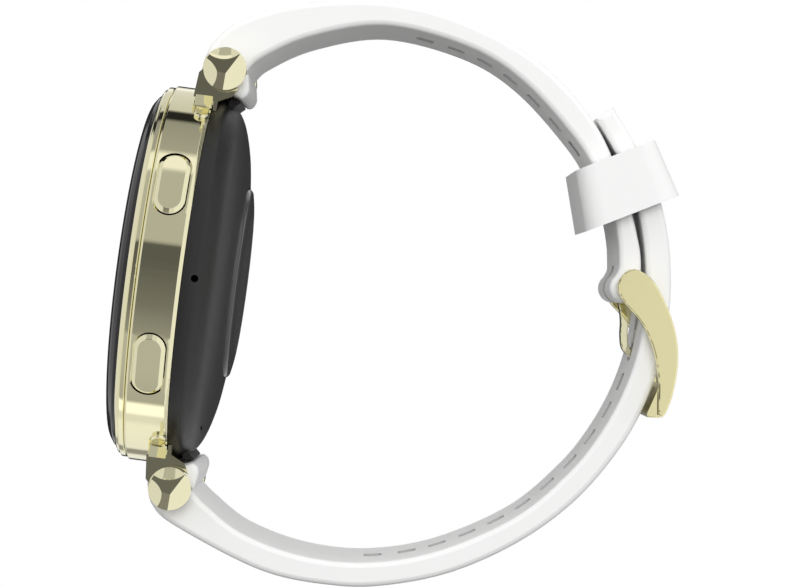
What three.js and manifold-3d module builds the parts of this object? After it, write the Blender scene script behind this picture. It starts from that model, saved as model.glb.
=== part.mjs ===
// Round wrist watch for golf, strap buckled. Millimetres.
// +X runs from the dial to the buckle, +Z to 12 o'clock, -Y to 3 o'clock (the two buttons).
// The origin lies on the wrist's axis, in the middle of the strap loop.
import * as THREE from 'three';
import { mergeVertices } from 'three/addons/utils/BufferGeometryUtils.js';
import Module from 'manifold-3d';

const wasm = await Module();
wasm.setup();

// ---- driving dimensions ----
const CASE_R = 20.4;            // outer radius of the polished band
const BAND_FRONT = -31.0;       // band, front edge
const BAND_BACK = -26.55;       // band, back face
const COLLAR_R = 19.2;          // collar that carries the bezel ring
const WALL_R = 17.9;            // inside of the case wall
const COVER_R = 19.9;           // back cover, largest radius
const GLASS_R = 19.2;
const GLASS_TOP = -34.15;       // crown of the domed front glass
const SENSOR_R = 10.3;
const SENSOR_TOP = -21.1;       // flat middle of the sensor window
const SENSOR_FLAT_R = 4.0;
const ROUND = 56;               // steps around the big turned parts

const BUTTON_X = -28.9;
const BUTTON_RISE = 27.6;       // degrees above and below 3 o'clock
const BUTTON_LONG = 7.0;
const BUTTON_WIDE = 3.2;
const BUTTON_PROUD = 0.35;
const BUTTON_TRAVEL = 0.35;
const BUTTON_GAP = 0.2;

const BAR_X = -25.5;            // lug bar axis
const BAR_Z = 22.15;
const BAR_R = 1.0;
const CAP_R = 2.25;
const CAP_IN = 9.75;            // caps start this far from the middle
const CAP_OUT = 12.6;
const EAR_IN = 9.2;
const EAR_OUT = 9.7;

const STRAP_HALF = 9.0;         // half of the strap's width
const STRAP_EDGE = 0.45;        // chamfer along the strap's edges
const SLOT_LONG = 2.0;
const SLOT_WIDE = 3.0;
const SLOT_PITCH = 3.6;

const PIN_X = 19.2;             // buckle pin axis
const PIN_Z = 4.9;
const PIN_R = 0.65;
const KNUCKLE_R = 1.6;
const TONGUE_HALF = 0.95;
const ARM_IN = 9.35;
const ARM_OUT = 10.9;

const KEEPER_X = 17.6;
const KEEPER_Z = 15.7;
const KEEPER_TILT = 28.7;       // degrees from +X to the keeper's outward direction
const KEEPER_HALF_LONG = 3.2;
const KEEPER_HALF_WIDE = 10.9;
const KEEPER_INNER_HALF = 9.4;

const rad = THREE.MathUtils.degToRad;
const V2 = (x, y) => new THREE.Vector2(x, y);
const V3 = (x, y, z) => new THREE.Vector3(x, y, z);

// ---- solids ----
// A closed geometry as a solid, turned to face out.
function solid(geometry) {
  let g = geometry.index ? geometry.toNonIndexed() : geometry.clone();
  g.deleteAttribute('normal');
  g.deleteAttribute('uv');
  g = mergeVertices(g, 1e-4);
  const p = g.attributes.position.array;
  const faces = [];
  let volume = 0;
  for (let i = 0; i < g.index.count; i += 3) {
    const [a, b, c] = [0, 1, 2].map((k) => g.index.array[i + k]);
    if (a === b || b === c || a === c) continue;
    faces.push(a, b, c);
    const [u, v, w] = [a, b, c].map((k) => V3(p[3 * k], p[3 * k + 1], p[3 * k + 2]));
    volume += u.dot(v.cross(w));
  }
  if (volume < 0) faces.reverse();
  const mesh = new wasm.Mesh({
    numProp: 3,
    vertProperties: Float32Array.from(p),
    triVerts: Uint32Array.from(faces),
  });
  return new wasm.Manifold(mesh);
}

function toGeometry(body) {
  const mesh = body.getMesh();
  const g = new THREE.BufferGeometry();
  g.setAttribute('position', new THREE.BufferAttribute(mesh.vertProperties.slice(), 3));
  g.setIndex(new THREE.BufferAttribute(mesh.triVerts.slice(), 1));
  g.computeVertexNormals();
  return g;
}

// A solid turned about the X axis from [radius, x] points.
function turned(points, steps = ROUND) {
  const closed = [...points];
  if (points[0][0] > 0) closed.push(points[0]);
  const g = new THREE.LatheGeometry(closed.map(([r, x]) => V2(r, x)), steps);
  g.rotateZ(-Math.PI / 2);
  return solid(g);
}

// A shape drawn in x and z, given thickness along y, with chamfered edges.
function slab(shape, low, high, edge = 0, curve = 8) {
  const g = new THREE.ExtrudeGeometry(shape, {
    depth: high - low - 2 * edge,
    bevelEnabled: edge > 0,
    bevelThickness: edge,
    bevelSize: edge,
    bevelOffset: -edge,
    bevelSegments: 1,
    curveSegments: curve,
  });
  g.rotateX(Math.PI / 2);
  g.translate(0, high - edge, 0);
  return solid(g);
}

function rod(r, low, high, x, z, steps = 24) {
  const g = new THREE.CylinderGeometry(r, r, high - low, steps);
  g.translate(x, (low + high) / 2, z);
  return solid(g);
}

function block(x0, x1, y0, y1, z0, z1) {
  const g = new THREE.BoxGeometry(x1 - x0, y1 - y0, z1 - z0);
  g.translate((x0 + x1) / 2, (y0 + y1) / 2, (z0 + z1) / 2);
  return solid(g);
}

const polygon = (points) => new THREE.Shape(points.map(([x, z]) => V2(x, z)));
const smooth = (points, n) => new THREE.SplineCurve(points.map(([x, z]) => V2(x, z))).getPoints(n);

// A pill outline in its own plane, long side along y.
function pill(wide, long, segments = 10) {
  const r = wide / 2;
  const h = long / 2 - r;
  const s = new THREE.Shape();
  s.absarc(0, h, r, 0, Math.PI, false);
  s.absarc(0, -h, r, Math.PI, 2 * Math.PI, false);
  return { shape: s, segments };
}

// A pill pushed out of the case wall, from radius low to radius high.
function wallPill(wide, long, low, high, rise, x, segments = 10) {
  const g = new THREE.ExtrudeGeometry(pill(wide, long).shape, {
    depth: high - low,
    bevelEnabled: false,
    curveSegments: segments,
  });
  g.translate(0, 0, low);
  return solid(g.applyMatrix4(wallFrame(rise, x)));
}

// Local x along the case axis, y around the case, z straight out of the wall.
function wallFrame(rise, x) {
  const a = rad(rise);
  const out = V3(0, -Math.cos(a), Math.sin(a));
  const around = V3(0, Math.sin(a), Math.cos(a));
  return new THREE.Matrix4().makeBasis(V3(1, 0, 0), around, out).setPosition(x, 0, 0);
}

// A ring or rod standing along the press direction of a button.
function wallTurned(points, rise, x, steps = 24) {
  const closed = points[0][0] > 0 ? [...points, points[0]] : points;
  const g = new THREE.LatheGeometry(closed.map(([r, h]) => V2(r, h)), steps);
  g.rotateX(Math.PI / 2);
  return solid(g.applyMatrix4(wallFrame(rise, x)));
}

// ---- materials ----
const GOLD = { color: 0xb2ad86, roughness: 0.12, metalness: 1.0 };
const WHITE = { color: 0xf0f0ee, roughness: 0.55, metalness: 0.0 };
const BLACK = { color: 0x232323, roughness: 0.6, metalness: 0.0 };
const GLASS = { color: 0x101210, roughness: 0.05, metalness: 0.0 };
const SENSOR = { color: 0x2c2c2c, roughness: 0.15, metalness: 0.0 };
const RUBBER = { color: 0x1a1a1a, roughness: 0.8, metalness: 0.0 };
const STEEL = { color: 0xb8b8b8, roughness: 0.3, metalness: 1.0 };
const BOARD = { color: 0x1d4a2c, roughness: 0.5, metalness: 0.0 };
const COPPER = { color: 0xb06a3a, roughness: 0.35, metalness: 1.0 };
const FOIL = { color: 0x8c9096, roughness: 0.4, metalness: 0.6 };

const watch = new THREE.Group();
watch.name = 'golf_watch';
function put(name, body, look) {
  const mesh = new THREE.Mesh(toGeometry(body), new THREE.MeshStandardMaterial(look));
  mesh.name = name;
  watch.add(mesh);
}

// ---- case ----
// What the strap ends and lugs must stay clear of: the case with a little room around it.
function envelope(room) {
  return turned([
    [0, BAND_FRONT - 1], [CASE_R + room, BAND_FRONT - 1], [CASE_R + room, BAND_BACK + 0.1],
    [COVER_R + room, -26.4], [19.82 + room, -25.5], [19.4 + room, -24.7], [17.9 + room, -23.5],
    [14.0, -22.2 + room], [0, -21.9 + room],
  ]);
}

const bandProfile = [
  [WALL_R, -28.0], [WALL_R, -31.95], [COLLAR_R, -31.95], [COLLAR_R, BAND_FRONT - 0.1],
  [CASE_R - 0.25, BAND_FRONT - 0.1], [CASE_R, BAND_FRONT + 0.1], [CASE_R, BAND_BACK - 0.35],
  [CASE_R - 0.35, BAND_BACK], [18.9, BAND_BACK], [18.9, -28.0],
];
let band = turned(bandProfile, 72);

const RECESS_FLOOR = 19.3;
for (const side of [1, -1]) {
  const rise = side * BUTTON_RISE;
  const wide = BUTTON_WIDE + 2 * BUTTON_GAP;
  const long = BUTTON_LONG + 2 * BUTTON_GAP;
  band = band.subtract(wallPill(wide, long, RECESS_FLOOR, 22, rise, BUTTON_X));
  band = band.subtract(wallTurned([[0, 16], [0.65, 16], [0.65, 20], [0, 20]], rise, BUTTON_X));
  band = band.subtract(wallTurned([[0, 16], [0.95, 16], [0.95, 18.7], [0, 18.7]], rise, BUTTON_X));
}
// Recesses at both lugs that take the round-ended feet.
const FOOT_X = -27.4;
const FOOT_RISE = 61.0;
const FOOT_WIDE = 1.5;
const FOOT_LONG = 4.6;
for (const rise of [FOOT_RISE, -FOOT_RISE, 180 - FOOT_RISE, 180 + FOOT_RISE]) {
  band = band.subtract(wallPill(FOOT_WIDE + 0.3, FOOT_LONG + 0.3, 19.75, 22, rise, FOOT_X, 6));
}
put('case_middle', band, GOLD);

put('bezel_ring', turned([
  [19.26, -31.2], [19.95, -31.2], [20.15, -31.38], [20.15, -31.72], [19.95, -31.82],
  [19.9, -32.05], [19.6, -32.25], [19.26, -32.25],
], 72), GOLD);

put('glass_gasket', turned([
  [18.0, -31.97], [19.1, -31.97], [19.1, -32.08], [18.0, -32.08],
]), RUBBER);

const dome = smooth([
  [GLASS_R, -32.35], [18.9, -32.75], [17.5, -33.4], [13.5, -33.85], [7.0, -34.08], [0, GLASS_TOP],
], 8).map((p) => [p.x, p.y]);
put('front_glass', turned([[0, -32.1], [GLASS_R, -32.1], ...dome], 64), GLASS);

put('display_module', turned([[0, -31.95], [17.5, -31.95], [17.5, -31.05], [0, -31.05]], 48), BLACK);

let board = turned([[0, -30.6], [16.8, -30.6], [16.8, -29.85], [0, -29.85]], 48);
board = board.subtract(block(-31, -29, 13.9, 18, -4, 4));
const SCREWS = [[60, 'a'], [180, 'b'], [300, 'c']];
for (const [angle] of SCREWS) {
  const y = 14.6 * Math.cos(rad(angle + 40));
  const z = 14.6 * Math.sin(rad(angle + 40));
  const hole = new THREE.CylinderGeometry(0.6, 0.6, 3, 16);
  hole.rotateZ(Math.PI / 2);
  hole.translate(-30, y, z);
  board = board.subtract(solid(hole));
  const screw = new THREE.LatheGeometry([
    V2(0, -0.95), V2(0.45, -0.95), V2(0.45, 0.1), V2(0.95, 0.1), V2(0.95, 0.5), V2(0, 0.5),
  ], 20);
  screw.rotateZ(-Math.PI / 2);
  screw.translate(-29.9, y, z);
  put(`board_screw_${SCREWS.find((s) => s[0] === angle)[1]}`, solid(screw), STEEL);
}
put('main_board', board, BOARD);

put('battery', turned([
  [0, -29.6], [11.7, -29.6], [12.0, -29.3], [12.0, -26.1], [11.7, -25.8], [0, -25.8],
], 48), FOIL);

const motor = new THREE.CylinderGeometry(1.9, 1.9, 2.8, 28);
motor.rotateZ(Math.PI / 2);
motor.translate(-28.2, 15.0, 0);
put('vibration_motor', solid(motor), STEEL);
put('microphone', block(-27.4, -26.0, -16.5, -14.6, -1.5, 1.5), STEEL);

// Back cover: a domed shell with a seat for the sensor window.
const skin = smooth([
  [COVER_R, -26.5], [19.75, -25.5], [19.3, -24.75], [17.4, -23.4], [14.2, -22.45], [10.5, -21.93],
], 7).map((p) => [p.x, p.y]);
const lining = smooth([
  [9.35, -23.0], [13.5, -23.45], [16.6, -24.3], [18.1, -25.4], [18.15, -26.4],
], 5).map((p) => [p.x, p.y]);
let cover = turned([...skin, [10.5, -22.65], [9.35, -22.65], ...lining,
  [18.15, -27.6], [18.75, -27.6], [18.75, -26.5]], ROUND);
// Black lips under each strap end.
for (const side of [1, -1]) {
  const lip = polygon([
    [-24.85, 17.4], [-24.85, 19.25], [-24.4, 19.22], [-23.85, 18.82], [-23.75, 18.3], [-24.6, 17.2],
  ].map(([x, z]) => [x, side * z]));
  const lipBody = slab(lip, -8.6, 8.6).subtract(turned([[0, -26], [19.0, -26], [17.0, -24.2],
    [14, -23.2], [0, -23]]));
  cover = cover.add(lipBody);
}
// Sound hole at 3 o'clock and a small slit towards 6.
cover = cover.subtract(rod(0.38, -21, -15, -25.25, 0, 16));
const slit = new THREE.BoxGeometry(2.2, 1.0, 0.28);
slit.rotateY(rad(40));
slit.translate(-23.1, 0, -17.4);
slit.rotateX(rad(-24));
cover = cover.subtract(solid(slit));
put('back_cover', cover, BLACK);

put('back_gasket', turned([
  [18.78, -27.9], [18.87, -27.9], [18.87, -27.3], [18.78, -27.3],
]), RUBBER);

const eye = smooth([[SENSOR_R - 0.3, -21.5], [8.5, -21.25], [6.0, -21.13], [SENSOR_FLAT_R, SENSOR_TOP]], 4);
put('sensor_window', turned([
  [0, -23.2], [9.25, -23.2], [9.25, -22.6], [SENSOR_R, -22.6], [SENSOR_R, -21.8],
  ...eye.map((p) => [p.x, p.y]), [0, SENSOR_TOP],
], ROUND), SENSOR);
put('sensor_board', turned([[0, -24.4], [8.8, -24.4], [8.8, -23.7], [0, -23.7]], 40), BOARD);
put('charging_coil', turned([[9.6, -24.3], [12.4, -24.3], [12.4, -23.75], [9.6, -23.75]], 48), COPPER);

// ---- buttons ----
for (const [place, side] of [['upper', 1], ['lower', -1]]) {
  const rise = side * BUTTON_RISE;
  const crown = turned([[0, -32], [CASE_R + BUTTON_PROUD, -32], [CASE_R + BUTTON_PROUD, -26],
    [0, -26]], 96);
  const foot = RECESS_FLOOR + BUTTON_TRAVEL + 0.2;
  let button = wallPill(BUTTON_WIDE, BUTTON_LONG, foot, 22, rise, BUTTON_X, 12).intersect(crown);
  const stem = wallTurned([
    [0, 16.95], [0.5, 16.95], [0.5, 17.35], [0.34, 17.35], [0.34, 17.75], [0.5, 17.75],
    [0.5, 20.1], [0, 20.1],
  ], rise, BUTTON_X);
  button = button.add(stem);
  put(`button_${place}`, button, GOLD);
  put(`button_${place}_clip`, wallTurned([
    [0.36, 17.4], [0.95, 17.4], [0.95, 17.7], [0.36, 17.7],
  ], rise, BUTTON_X, 20), STEEL);
  put(`button_${place}_seal`, wallTurned([
    [0.53, 18.15], [0.92, 18.15], [0.92, 18.65], [0.53, 18.65],
  ], rise, BUTTON_X, 20), RUBBER);
  const housing = new THREE.BoxGeometry(1.7, 3.0, 1.2);
  housing.translate(0, 0, 15.95);
  put(`button_${place}_switch`, solid(housing.applyMatrix4(wallFrame(rise, BUTTON_X))), BLACK);
}

// ---- lugs ----
for (const [place, side] of [['upper', 1], ['lower', -1]]) {
  const at = (points) => polygon(points.map(([x, z]) => [x, side * z]));
  // Cross piece with an ear at each end, hollowed for the strap's rolled end.
  const face = at([
    [-28.3, 21.6], [-28.55, 19.0], [-26.0, 18.75], [-24.45, 19.5], [-23.9, 20.6], [-23.7, 22.6],
    [-24.6, 23.7], [-26.4, 23.7],
  ]);
  const skirt = at([[-28.45, 19.3], [-28.2, 18.2], [-27.6, 17.6], [-26.1, 17.6], [-25.9, 19.3]]);
  let lug = slab(face, -EAR_OUT, EAR_OUT).add(slab(skirt, -9.0, 9.0));
  lug = lug.subtract(rod(2.75, -EAR_IN, EAR_IN, BAR_X, side * BAR_Z, 40));
  lug = lug.subtract(block(-25.0, -20, -EAR_IN, EAR_IN, side > 0 ? 15 : -26, side > 0 ? 26 : -15));
  lug = lug.subtract(envelope(0.12));
  for (const turn of [FOOT_RISE, 180 - FOOT_RISE]) {
    const claw = wallPill(FOOT_WIDE, FOOT_LONG, 19.8, CASE_R + 0.3, side * turn, FOOT_X, 6);
    lug = lug.add(claw);
  }
  lug = lug.subtract(rod(BAR_R + 0.03, -11, 11, BAR_X, side * BAR_Z));
  put(`lug_${place}`, lug, GOLD);

  put(`lug_bar_${place}`, rod(BAR_R, -11.0, 11.0, BAR_X, side * BAR_Z), STEEL);

  // End caps: a short drum, domed, with three flats cut around the dome.
  for (const [end, way] of [['near', -1], ['far', 1]]) {
    const drum = new THREE.LatheGeometry([
      V2(0, CAP_IN), V2(CAP_R - 0.15, CAP_IN), V2(CAP_R, CAP_IN + 0.15), V2(CAP_R, 11.75),
      V2(CAP_R - 0.1, 11.9), V2(1.5, 12.4), V2(0.7, CAP_OUT - 0.04), V2(0, CAP_OUT),
    ], 30);
    drum.translate(BAR_X, 0, side * BAR_Z);
    let cap = solid(drum);
    for (const [angle, tilt] of [[101, 42], [210, 42], [338, 40]]) {
      const flat = new THREE.BoxGeometry(8, 4, 8);
      flat.translate(0, 2, 0);
      flat.rotateZ(rad(-tilt));
      flat.translate(1.32, 12.15, 0);
      flat.rotateY(-rad(angle));
      flat.translate(BAR_X, 0, side * BAR_Z);
      cap = cap.subtract(solid(flat));
    }
    if (way < 0) {
      const g = toGeometry(cap);
      g.scale(1, -1, 1);
      cap = solid(g);
    }
    cap = cap.subtract(rod(BAR_R + 0.03, -11.05, 11.05, BAR_X, side * BAR_Z));
    put(`lug_cap_${place}_${end}`, cap, GOLD);
  }
}

// ---- strap ----
// Short strap, 12 o'clock side: outside surface from the lug, then the inside surface back.
const shortOut = [
  [-28.15, 22.2], [-27.4, 24.7], [-24.8, 27.55], [-18.7, 30.2], [-9.9, 31.65], [-1.5, 30.75],
  [7.0, 27.45], [13.6, 22.0], [17.7, 15.5], [20.0, 10.0], [20.65, 7.2], [PIN_X + KNUCKLE_R, PIN_Z],
];
const shortIn = [
  [18.02, 6.0], [18.3, 6.75], [18.25, 7.6], [17.85, 9.8], [16.9, 12.6], [14.75, 16.4],
  [11.9, 19.9], [5.8, 25.1], [-0.5, 28.0], [-9.5, 29.1], [-17.2, 26.9], [-22.0, 24.0], [-23.4, 22.3],
];
// Long strap, 6 o'clock side.
const longOut = [
  [-28.15, -22.2], [-27.3, -24.4], [-24.5, -26.3], [-15.1, -29.7], [-7.6, -30.3], [-1.7, -29.55],
  [5.1, -27.2], [11.7, -23.1], [17.0, -18.0], [20.9, -12.0], [23.1, -6.4], [24.1, -0.5],
  [24.1, 5.0], [23.0, 11.0], [20.6, 16.8], [15.5, 23.7],
];
const longIn = [
  [13.85, 22.25], [17.9, 16.8], [20.3, 11.0], [21.45, 5.0], [21.55, -0.5], [20.5, -6.0],
  [18.4, -11.2], [15.6, -15.6], [10.8, -20.7], [3.3, -25.2], [-4.0, -27.4], [-11.0, -27.6],
  [-17.5, -26.1], [-21.6, -23.7], [-23.4, -22.3],
];
// The nose of each strap end, which tucks in behind the back cover's rim.
const nose = [
  [-23.0, 21.2], [-22.95, 20.5], [-23.2, 19.85], [-23.6, 19.45], [-24.1, 19.5], [-24.7, 19.85],
];
// Underside of the rolled end, around the bar.
const roll = [250, 230, 210, 195].map((a) => [
  BAR_X + 2.6 * Math.cos(rad(a)), BAR_Z + 2.6 * Math.sin(rad(a)),
]);

// A slot through the strap at a point of the midline, cut square to it.
function slot(p, slope, deep = 9) {
  const r = 0.5;
  const [a, b] = [SLOT_LONG / 2, SLOT_WIDE / 2];
  const s = new THREE.Shape();
  s.absarc(a - r, b - r, r, 0, Math.PI / 2);
  s.absarc(-a + r, b - r, r, Math.PI / 2, Math.PI);
  s.absarc(-a + r, -b + r, r, Math.PI, 1.5 * Math.PI);
  s.absarc(a - r, -b + r, r, 1.5 * Math.PI, 2 * Math.PI);
  const g = new THREE.ExtrudeGeometry(s, { depth: deep, bevelEnabled: false, curveSegments: 2 });
  g.translate(0, 0, -deep / 2);
  g.rotateY(-slope);
  g.translate(p.x, 0, p.y);
  return solid(g);
}

// Slots evenly spaced on a line midway between two surfaces.
function slotRow(strap, line, first, count) {
  const curve = new THREE.SplineCurve(line.map(([x, z]) => V2(x, z)));
  curve.arcLengthDivisions = 400;
  const length = curve.getLength();
  let body = strap;
  for (let i = 0; i < count; i++) {
    const u = (first + i * SLOT_PITCH) / length;
    const t = curve.getTangentAt(u);
    body = body.subtract(slot(curve.getPointAt(u), Math.atan2(t.y, t.x)));
  }
  return body;
}

const caseRoom = envelope(0.3);

const shortOutline = new THREE.Shape([
  ...smooth(shortOut, 26),
  ...[-25, -50, -75, -105, -130, -155].map((a) => V2(
    PIN_X + KNUCKLE_R * Math.cos(rad(a)), PIN_Z + KNUCKLE_R * Math.sin(rad(a)))),
  ...smooth(shortIn, 22),
  ...nose.map(([x, z]) => V2(x, z)),
  ...roll.map(([x, z]) => V2(x, z)),
]);
let shortStrap = slab(shortOutline, -STRAP_HALF, STRAP_HALF, STRAP_EDGE);
shortStrap = shortStrap.subtract(rod(BAR_R + 0.05, -12, 12, BAR_X, BAR_Z));
shortStrap = shortStrap.subtract(rod(PIN_R + 0.05, -12, 12, PIN_X, PIN_Z));
shortStrap = shortStrap.subtract(caseRoom);
// Gap between the two knuckles for the tongue's eye.
shortStrap = shortStrap.subtract(block(15, 23, -1.35, 1.35, 2, 7.2));
const shortMid = [
  [-6.0, 30.2], [0.5, 29.1], [6.4, 26.3], [12.7, 20.95], [15.8, 15.95],
];
shortStrap = slotRow(shortStrap, shortMid, 1.0, 8);
put('strap_upper', shortStrap, WHITE);

const longOutline = new THREE.Shape([
  ...smooth(longOut, 36),
  ...smooth(longIn, 34),
  ...nose.map(([x, z]) => V2(x, -z)),
  ...roll.map(([x, z]) => V2(x, -z)),
]);
let longStrap = slab(longOutline, -STRAP_HALF, STRAP_HALF, STRAP_EDGE);
longStrap = longStrap.subtract(rod(BAR_R + 0.05, -12, 12, BAR_X, -BAR_Z));
longStrap = longStrap.subtract(caseRoom);
const longMid = [
  [-5.0, -28.8], [4.2, -26.2], [11.25, -21.9], [16.3, -16.8], [19.65, -11.6], [21.8, -6.2],
  [22.83, -0.5], [22.78, 5.0], [21.65, 11.0], [19.3, 16.8],
];
longStrap = slotRow(longStrap, longMid, 1.8, 16);
put('strap_lower', longStrap, WHITE);

// ---- keeper ----
const keeperFrame = (g) => {
  g.rotateY(-rad(KEEPER_TILT));
  g.translate(KEEPER_X, 0, KEEPER_Z);
  return g;
};
const L = KEEPER_HALF_LONG;
const keeperOuter = polygon([[-5.5, -L], [5.1, -L], [4.85, L], [-4.15, L]]);
const keeperInner = polygon([[-4.3, -5], [3.7, -5], [3.7, 5], [-2.3, 5]]);
const keeperGeometry = (shape, half, edge, segments) => {
  const g = new THREE.ExtrudeGeometry(shape, {
    depth: 2 * (half - edge), bevelEnabled: true, bevelThickness: edge, bevelSize: edge,
    bevelOffset: -edge, bevelSegments: segments,
  });
  g.rotateX(Math.PI / 2);
  g.translate(0, half - edge, 0);
  return keeperFrame(g);
};
const keeper = solid(keeperGeometry(keeperOuter, KEEPER_HALF_WIDE, 0.7, 3))
  .subtract(solid(keeperGeometry(keeperInner, KEEPER_INNER_HALF, 0.3, 1)));
put('keeper_loop', keeper, WHITE);

// ---- buckle ----
put('buckle_pin', rod(PIN_R, -10.3, 10.3, PIN_X, PIN_Z, 20), STEEL);

const armOutline = new THREE.Shape([
  ...smooth([
    [18.35, 5.6], [19.0, 6.6], [20.1, 6.95], [21.9, 6.0], [23.7, 3.55], [25.0, 0.8], [25.6, -2.0],
    [25.55, -5.2], [25.1, -7.4], [24.7, -8.1],
  ], 24),
  ...smooth([
    [24.3, -7.9], [24.15, -6.8], [23.85, -4.4], [23.1, -1.7], [22.1, 0.3], [20.9, 1.85],
    [19.4, 3.15], [18.5, 4.3], [18.3, 5.0],
  ], 20),
]);
let frame = slab(armOutline, -ARM_OUT, -ARM_IN).add(slab(armOutline, ARM_IN, ARM_OUT));
const crossbar = polygon([
  [24.15, -4.6], [25.0, -4.7], [25.3, -6.2], [25.0, -7.7], [24.5, -8.2], [23.25, -8.3], [23.15, -7.9],
]);
frame = frame.add(slab(crossbar, -ARM_IN - 0.6, ARM_IN + 0.6));
frame = frame.subtract(rod(PIN_R + 0.05, -10.4, 10.4, PIN_X, PIN_Z, 20));
// Notch in the crossbar that takes the tongue's tip.
frame = frame.subtract(block(24.6, 26, -1.2, 1.2, -7.2, -4));
put('buckle_frame', frame, GOLD);

const tonguePath = smooth([
  [19.5, 4.1], [20.0, 2.7], [20.3, 1.3], [20.42, -0.1], [20.8, -1.45], [21.9, -2.15], [23.3, -2.25],
  [24.4, -2.85], [24.95, -4.2], [25.1, -5.9],
], 18);
const tongueLeft = [];
const tongueRight = [];
tonguePath.forEach((p, i) => {
  const a = tonguePath[Math.max(i - 1, 0)];
  const b = tonguePath[Math.min(i + 1, tonguePath.length - 1)];
  const d = b.clone().sub(a).normalize();
  const half = 0.42 - 0.08 * (i / tonguePath.length);
  tongueLeft.push(V2(p.x + half * d.y, p.y - half * d.x));
  tongueRight.push(V2(p.x - half * d.y, p.y + half * d.x));
});
let tongue = slab(new THREE.Shape([...tongueLeft, ...tongueRight.reverse()]), -TONGUE_HALF, TONGUE_HALF);
tongue = tongue.add(rod(1.35, -TONGUE_HALF, TONGUE_HALF, PIN_X, PIN_Z, 28));
tongue = tongue.subtract(rod(PIN_R + 0.05, -3, 3, PIN_X, PIN_Z, 20));
put('buckle_tongue', tongue, GOLD);

export default watch;
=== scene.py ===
import math

import bmesh
import bpy
from mathutils import Matrix, Vector


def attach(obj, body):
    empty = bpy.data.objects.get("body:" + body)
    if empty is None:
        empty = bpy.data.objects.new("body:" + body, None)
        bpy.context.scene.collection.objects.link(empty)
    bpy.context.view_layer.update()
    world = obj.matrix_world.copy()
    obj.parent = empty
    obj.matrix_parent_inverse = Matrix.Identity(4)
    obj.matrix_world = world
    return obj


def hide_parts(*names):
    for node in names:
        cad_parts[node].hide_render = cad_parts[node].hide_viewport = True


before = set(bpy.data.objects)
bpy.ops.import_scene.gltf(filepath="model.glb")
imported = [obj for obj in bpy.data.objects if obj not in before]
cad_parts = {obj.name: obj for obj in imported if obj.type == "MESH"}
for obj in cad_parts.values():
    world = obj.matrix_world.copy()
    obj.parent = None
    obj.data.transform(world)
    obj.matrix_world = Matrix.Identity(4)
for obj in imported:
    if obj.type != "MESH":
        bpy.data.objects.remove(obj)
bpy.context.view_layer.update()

MM = 0.001
rad = math.radians


# ---------------------------------------------------------------- materials
def node_material(name, base, rough, metal=0.0, coat=0.0, coat_rough=0.05, noise=0.0,
                  noise_scale=600.0, bump=0.0, bump_scale=3000.0, bump_depth=0.00002,
                  tint=0.0, specular=0.5, sheen=0.0):
    """A shader with fine colour and roughness variation and a fine surface texture."""
    material = bpy.data.materials.new(name)
    material.use_nodes = True
    nodes = material.node_tree.nodes
    link = material.node_tree.links.new
    shader = nodes["Principled BSDF"]
    for key, value in (("Base Color", (*base, 1)), ("Metallic", metal), ("Roughness", rough),
                       ("Specular IOR Level", specular), ("Coat Weight", coat),
                       ("Coat Roughness", coat_rough), ("Sheen Weight", sheen)):
        shader.inputs[key].default_value = value
    place = nodes.new("ShaderNodeTexCoord")
    grain = nodes.new("ShaderNodeTexNoise")
    grain.inputs["Scale"].default_value = noise_scale
    grain.inputs["Detail"].default_value = 4
    link(place.outputs["Object"], grain.inputs["Vector"])
    if noise:
        spread = nodes.new("ShaderNodeMapRange")
        spread.inputs["To Min"].default_value = max(rough - noise, 0.0)
        spread.inputs["To Max"].default_value = rough + noise
        link(grain.outputs["Fac"], spread.inputs["Value"])
        link(spread.outputs["Result"], shader.inputs["Roughness"])
    if tint:
        mix = nodes.new("ShaderNodeMix")
        mix.data_type = "RGBA"
        mix.inputs[6].default_value = (*[c * (1 - tint) for c in base], 1)
        mix.inputs[7].default_value = (*[min(c * (1 + tint), 1) for c in base], 1)
        link(grain.outputs["Fac"], mix.inputs[0])
        link(mix.outputs[2], shader.inputs["Base Color"])
    if bump:
        relief = nodes.new("ShaderNodeTexNoise")
        relief.inputs["Scale"].default_value = bump_scale
        relief.inputs["Detail"].default_value = 3
        link(place.outputs["Object"], relief.inputs["Vector"])
        lift = nodes.new("ShaderNodeBump")
        lift.inputs["Strength"].default_value = bump
        lift.inputs["Distance"].default_value = bump_depth
        link(relief.outputs["Fac"], lift.inputs["Height"])
        link(lift.outputs["Normal"], shader.inputs["Normal"])
    return material


GOLD = node_material("gold_polished", (0.93, 0.885, 0.60), 0.045, 1.0, noise=0.012, tint=0.01)
GOLD_SATIN = node_material("gold_flat", (0.99, 0.915, 0.53), 0.10, 1.0, noise=0.03,
                           noise_scale=900, tint=0.015)
WHITE = node_material("strap_white", (0.90, 0.90, 0.895), 0.46, noise=0.05, noise_scale=400,
                      bump=0.25, bump_scale=5200, bump_depth=0.000012, tint=0.008, specular=0.35,
                      sheen=0.08)
# Darker grey rubber for the slot walls: painted shade standing in for the shadow inside the strap's
# slots.
SLOT_PAINTED_SHADE = node_material("strap_slot_painted_shade", (0.5, 0.5, 0.5), 0.6, noise=0.05, noise_scale=400,
                            bump=0.25, bump_scale=5200, bump_depth=0.000012, specular=0.2)
BLACK = node_material("cover_black", (0.010, 0.010, 0.010), 0.40, noise=0.05, noise_scale=700,
                      bump=0.5, bump_scale=9000, bump_depth=0.000010, specular=0.45)
GLASS = node_material("dial_glass", (0.006, 0.0065, 0.006), 0.03, noise=0.01, noise_scale=120,
                      specular=0.35)
LENS = node_material("sensor_lens", (0.10, 0.10, 0.10), 0.2, coat=0.15, coat_rough=0.03,
                     noise=0.02, noise_scale=150)
SEAL = node_material("seal", (0.012, 0.012, 0.012), 0.7, noise=0.08)
STEEL = node_material("steel_turned", (0.62, 0.62, 0.63), 0.24, 1.0, noise=0.06, noise_scale=2500)
PLASTIC = node_material("plastic_black", (0.02, 0.02, 0.021), 0.3, noise=0.05)
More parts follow.
